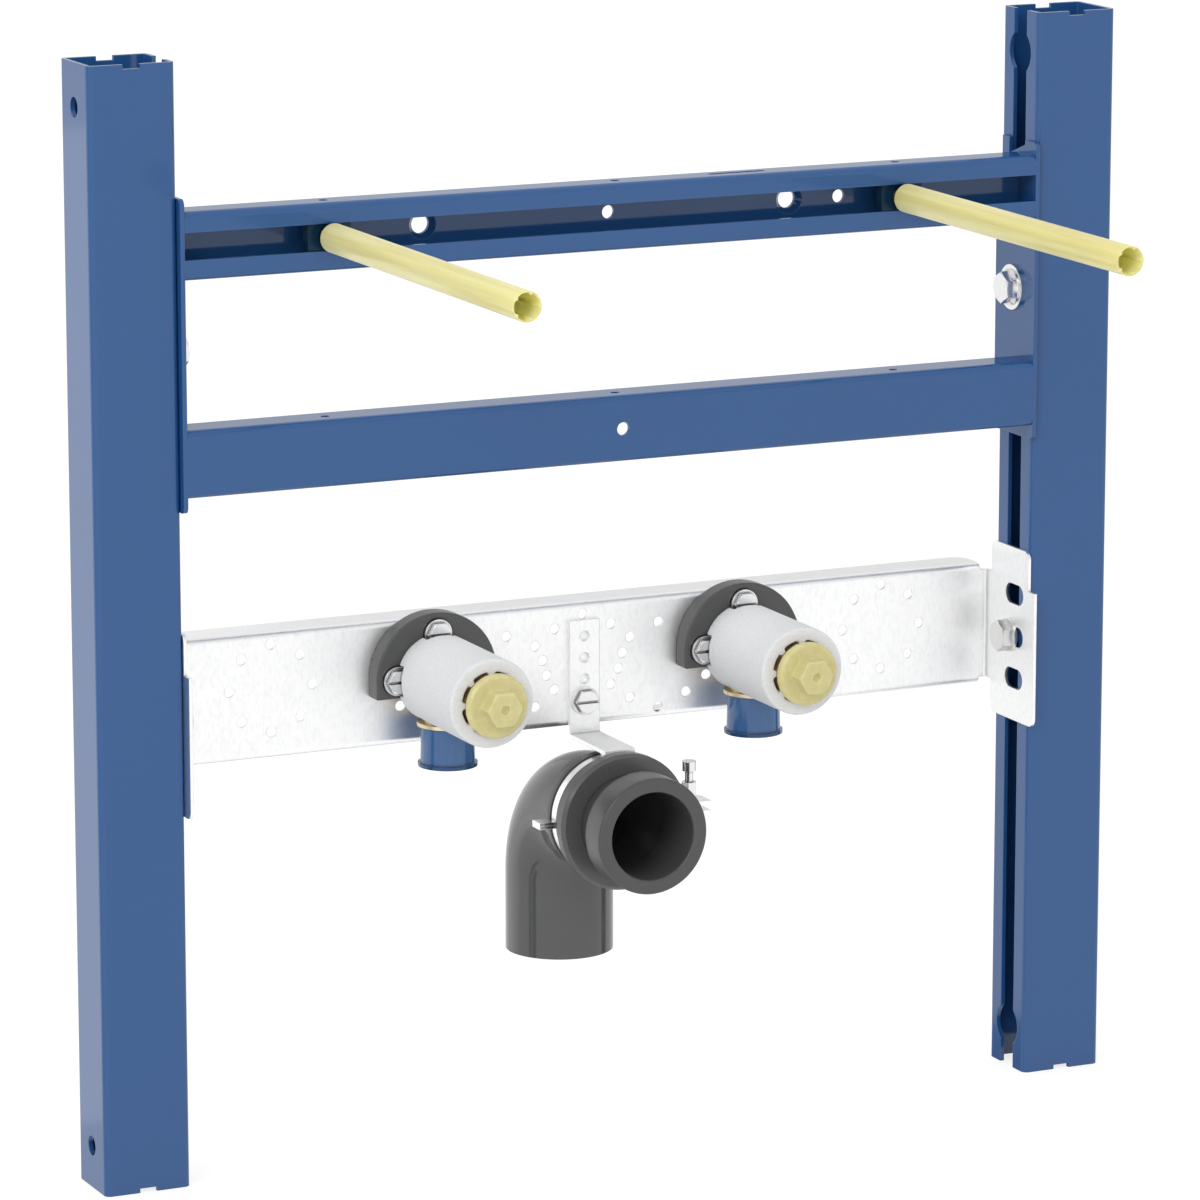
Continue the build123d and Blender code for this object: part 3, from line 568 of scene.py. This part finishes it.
def make_tubes():
    """Tubes over the basin rods, with rounded ends and ribs inside."""
    for side in sides:
        low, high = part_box(f"{side}_rod_tube")
        x, z = axis_of(low, high)
        outer = (high.x - low.x) / 2
        mesh = turned(f"{side}_ribbed_tube", x, z, lambda angle: tube_outline(angle, outer, low.y, high.y))
        tube = place_piece(f"{side}_ribbed_tube", mesh, f"{side}_rod_tube")
        # The bore faces take the paler painted-light copy of the plastic.
        tube.data.materials.append(bore_painted_light)
        for face in tube.data.polygons:
            reach = math.hypot(face.center.x - x, face.center.z - z)
            face.material_index = int(reach < tube_bore / 2 + tube_bore_margin)


def make_nipple():
    """Rubber nipple: a wide rounded lip on a neck that sits in the bend."""
    low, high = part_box("waste_nipple")
    x, z = axis_of(low, high)
    outer = (high.x - low.x) / 2
    bore = nipple_bore_radius
    neck = nipple_neck_radius
    lip_back = low.y + nipple_lip_length
    outline = rounded([
        (bore, low.y), (outer, low.y), (outer, lip_back), (neck, lip_back), (neck, high.y), (bore, high.y),
    ], nipple_edge_radius)
    place_piece("rubber_nipple", turned("rubber_nipple", x, z, lambda angle: outline), "waste_nipple")


def make_lining():
    """Rubber lining of the clamp, whose rounded lips wrap round the edges of the band."""
    low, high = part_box("waste_clamp_lining")
    x, z = axis_of(low, high)
    lip = (high.x - low.x) / 2
    inner = lip - lining_height
    seat = lip - lining_seat_depth
    over = lip - lining_wrap_thickness
    width = lining_side_width
    wrap = lining_wrap_width
    outline = rounded([
        (inner, low.y), (lip, low.y), (lip, low.y + wrap), (over, low.y + wrap), (over, low.y + width),
        (seat, low.y + width), (seat, high.y - width), (over, high.y - width), (over, high.y - wrap),
        (lip, high.y - wrap), (lip, high.y), (inner, high.y),
    ], lining_edge_radius)
    place_piece("rubber_lining", turned("rubber_lining", x, z, lambda angle: outline), "waste_clamp_lining")


def thread_mesh(name, x, z, y0, y1, radius):
    """Rod along Y with a helical thread that runs out at both ends."""
    mesh = bpy.data.meshes.new(name)
    rows = round((y1 - y0) / rod_pitch * rod_rows_per_pitch)
    points = []
    for i in range(rows + 1):
        y = y0 + (y1 - y0) * i / rows
        fade = min(1.0, min(i, rows - i) / rod_rows_per_pitch)
        for k in range(rod_steps):
            turn = k / rod_steps
            wave = abs(((y / rod_pitch + turn) % 1.0) * 2 - 1)
            crest = min(1.0, max(0.0, rod_flank_slope * wave - rod_root_share))
            r = radius - rod_thread_depth * (1 - fade * crest)
            points.append((x + r * math.cos(2 * math.pi * turn), y, z + r * math.sin(2 * math.pi * turn)))
    faces = []
    for i in range(rows):
        for k in range(rod_steps):
            a = i * rod_steps + k
            b = i * rod_steps + (k + 1) % rod_steps
            faces.append((a, a + rod_steps, b + rod_steps, b))
    faces.append(tuple(range(rod_steps)))
    faces.append(tuple(rows * rod_steps + k for k in reversed(range(rod_steps))))
    mesh.from_pydata(points, [], faces)
    return mesh


def make_rods():
    """Threaded basin rods."""
    for side in sides:
        low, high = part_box(f"{side}_rod")
        x, z = axis_of(low, high)
        mesh = thread_mesh(f"{side}_threaded_rod", x, z, low.y, high.y, (high.x - low.x) / 2)
        place_piece(f"{side}_threaded_rod", mesh, f"{side}_rod")


def greater(tree, first, second):
    """The greater of two values."""
    step = node(tree, "ShaderNodeMath", operation="MAXIMUM")
    tree.links.new(first, step.inputs[0])
    tree.links.new(second, step.inputs[1])
    return step.outputs[0]


def seen_directly(tree, path):
    """A value that is 1 for what is seen itself or through a clear piece, and not in a reflection."""
    return greater(tree, path.outputs["Is Camera Ray"], path.outputs["Is Transmission Ray"])


def graded(tree, source, output, low, high, to_low, to_high):
    """A value that goes smoothly from one level to another, as its source goes from low to high."""
    span = node(tree, "ShaderNodeMapRange", {
        "From Min": low, "From Max": high, "To Min": to_low, "To Max": to_high,
    }, interpolation_type="SMOOTHSTEP")
    link(tree, source, output, span, "Value")
    return span


def reflected_sky(tree):
    """Sky in the reflections: dark seams at the left and right, dimmer low behind and high in front."""
    direction = node(tree, "ShaderNodeTexCoord")
    parts = node(tree, "ShaderNodeSeparateXYZ")
    depth = node(tree, "ShaderNodeMath", operation="ABSOLUTE")
    height = node(tree, "ShaderNodeMath", operation="ABSOLUTE")
    link(tree, direction, "Generated", parts, "Vector")
    link(tree, parts, "Y", depth, 0)
    link(tree, parts, "Z", height, 0)
    seam = graded(tree, depth, 0, sky_seam_half_width, sky_seam_fade, sky_seam_level, 1.0)
    seam_end = graded(tree, height, 0, sky_seam_top, sky_seam_top_fade, 0.0, 1.0)
    low_behind = graded(tree, parts, "Z", *sky_behind_span, 1.0, sky_behind_level)
    overhead = graded(tree, parts, "Z", *sky_overhead_span, 0.0, sky_overhead_gain)
    behind = node(tree, "ShaderNodeMath", operation="ADD")
    link(tree, low_behind, "Result", behind, 0)
    link(tree, overhead, "Result", behind, 1)
    front = graded(tree, parts, "Z", *sky_front_span, sky_front_low_level, sky_front_high_level)
    around = graded(tree, parts, "Y", *sky_turn_span, 0.0, 1.0)
    link(tree, front, "Result", around, "To Min")
    link(tree, behind, 0, around, "To Max")
    shaded = node(tree, "ShaderNodeMath", operation="MULTIPLY")
    link(tree, around, "Result", shaded, 0)
    tree.links.new(greater(tree, seam.outputs["Result"], seam_end.outputs["Result"]), shaded.inputs[1])
    return shaded


def light_studio():
    """White surroundings, shaded in the reflections, and a large soft key."""
    world = bpy.data.worlds.new("studio")
    bpy.context.scene.world = world
    world.use_nodes = True
    tree = world.node_tree
    background = tree.nodes["Background"]
    background.inputs["Color"].default_value = (1, 1, 1, 1)
    path = node(tree, "ShaderNodeLightPath")
    reflected = node(tree, "ShaderNodeMapRange", {"To Min": sky_for_light})
    link(tree, path, "Is Glossy Ray", reflected, "Value")
    link(tree, reflected_sky(tree), 0, reflected, "To Max")
    strength = node(tree, "ShaderNodeMapRange", {"To Max": 1.0})
    tree.links.new(seen_directly(tree, path), strength.inputs["Value"])
    link(tree, reflected, "Result", strength, "To Min")
    link(tree, strength, "Result", background, "Strength")
    lamp = bpy.data.lights.new("key", "AREA")
    lamp.shape = "DISK"
    lamp.size = key_size
    lamp.energy = key_power
    holder = bpy.data.objects.new("key", lamp)
    holder.location = key_place
    holder.rotation_euler = ((cad_low + cad_high) / 2 - key_place).to_track_quat("-Z", "Y").to_euler()
    bpy.context.scene.collection.objects.link(holder)


def stage_plane(name, corners):
    """A plane of the studio, with an empty material tree to fill."""
    mesh = bpy.data.meshes.new(name)
    mesh.from_pydata(corners, [], [(0, 1, 2, 3)])
    plane = bpy.data.objects.new(name, mesh)
    bpy.context.scene.collection.objects.link(plane)
    material = bpy.data.materials.new(name)
    material.use_nodes = True
    tree = material.node_tree
    tree.nodes.remove(tree.nodes["Principled BSDF"])
    mesh.materials.append(material)
    return plane, tree


def lay_floor():
    """Pale floor that shows white to the camera and keeps a faint shadow."""
    half = floor_size / 2
    z = cad_low.z - floor_gap
    corners = [(-half, -half, z), (half, -half, z), (half, half, z), (-half, half, z)]
    floor, tree = stage_plane("floor", corners)
    floor.visible_glossy = False
    path = node(tree, "ShaderNodeLightPath")
    bounce = node(tree, "ShaderNodeBsdfDiffuse", {"Color": (*[floor_bounce_albedo] * 3, 1)})
    shown = node(tree, "ShaderNodeBsdfDiffuse", {"Color": (*[floor_shown_albedo] * 3, 1)})
    glow = node(tree, "ShaderNodeEmission", {"Color": (1, 1, 1, 1), "Strength": floor_glow})
    white = node(tree, "ShaderNodeAddShader")
    either = node(tree, "ShaderNodeMixShader")
    link(tree, shown, 0, white, 0)
    link(tree, glow, 0, white, 1)
    tree.links.new(seen_directly(tree, path), either.inputs[0])
    link(tree, bounce, 0, either, 1)
    link(tree, white, 0, either, 2)
    link(tree, either, 0, tree.nodes["Material Output"], "Surface")


def hang_cards():
    """Pale and dark cards behind the frame, which only reflections show."""
    for name, ((x0, z0), (x1, z1), level) in cards.items():
        corners = [(x0, card_y, z0), (x1, card_y, z0), (x1, card_y, z1), (x0, card_y, z1)]
        card, tree = stage_plane(name, corners)
        glow = node(tree, "ShaderNodeEmission", {"Color": (1, 1, 1, 1), "Strength": level})
        link(tree, glow, 0, tree.nodes["Material Output"], "Surface")
        card.visible_camera = False
        card.visible_diffuse = False
        card.visible_transmission = False
        card.visible_shadow = False


def place_camera():
    """Camera at the photograph's viewing angle."""
    lens = bpy.data.cameras.new("camera")
    lens.lens = camera_lens_mm
    lens.sensor_width = camera_sensor_mm
    lens.clip_start, lens.clip_end = camera_clip
    holder = bpy.data.objects.new("camera", lens)
    holder.location = camera_place
    holder.rotation_euler = (math.radians(90 - camera_tilt_deg), 0, math.radians(-camera_turn_deg))
    bpy.context.scene.collection.objects.link(holder)
    bpy.context.scene.camera = holder


dress_nodes()
make_tap_fittings()
make_tubes()
make_nipple()
make_lining()
make_rods()
light_studio()
lay_floor()
hang_cards()
place_camera()
bpy.context.scene.view_settings.view_transform = "Standard"
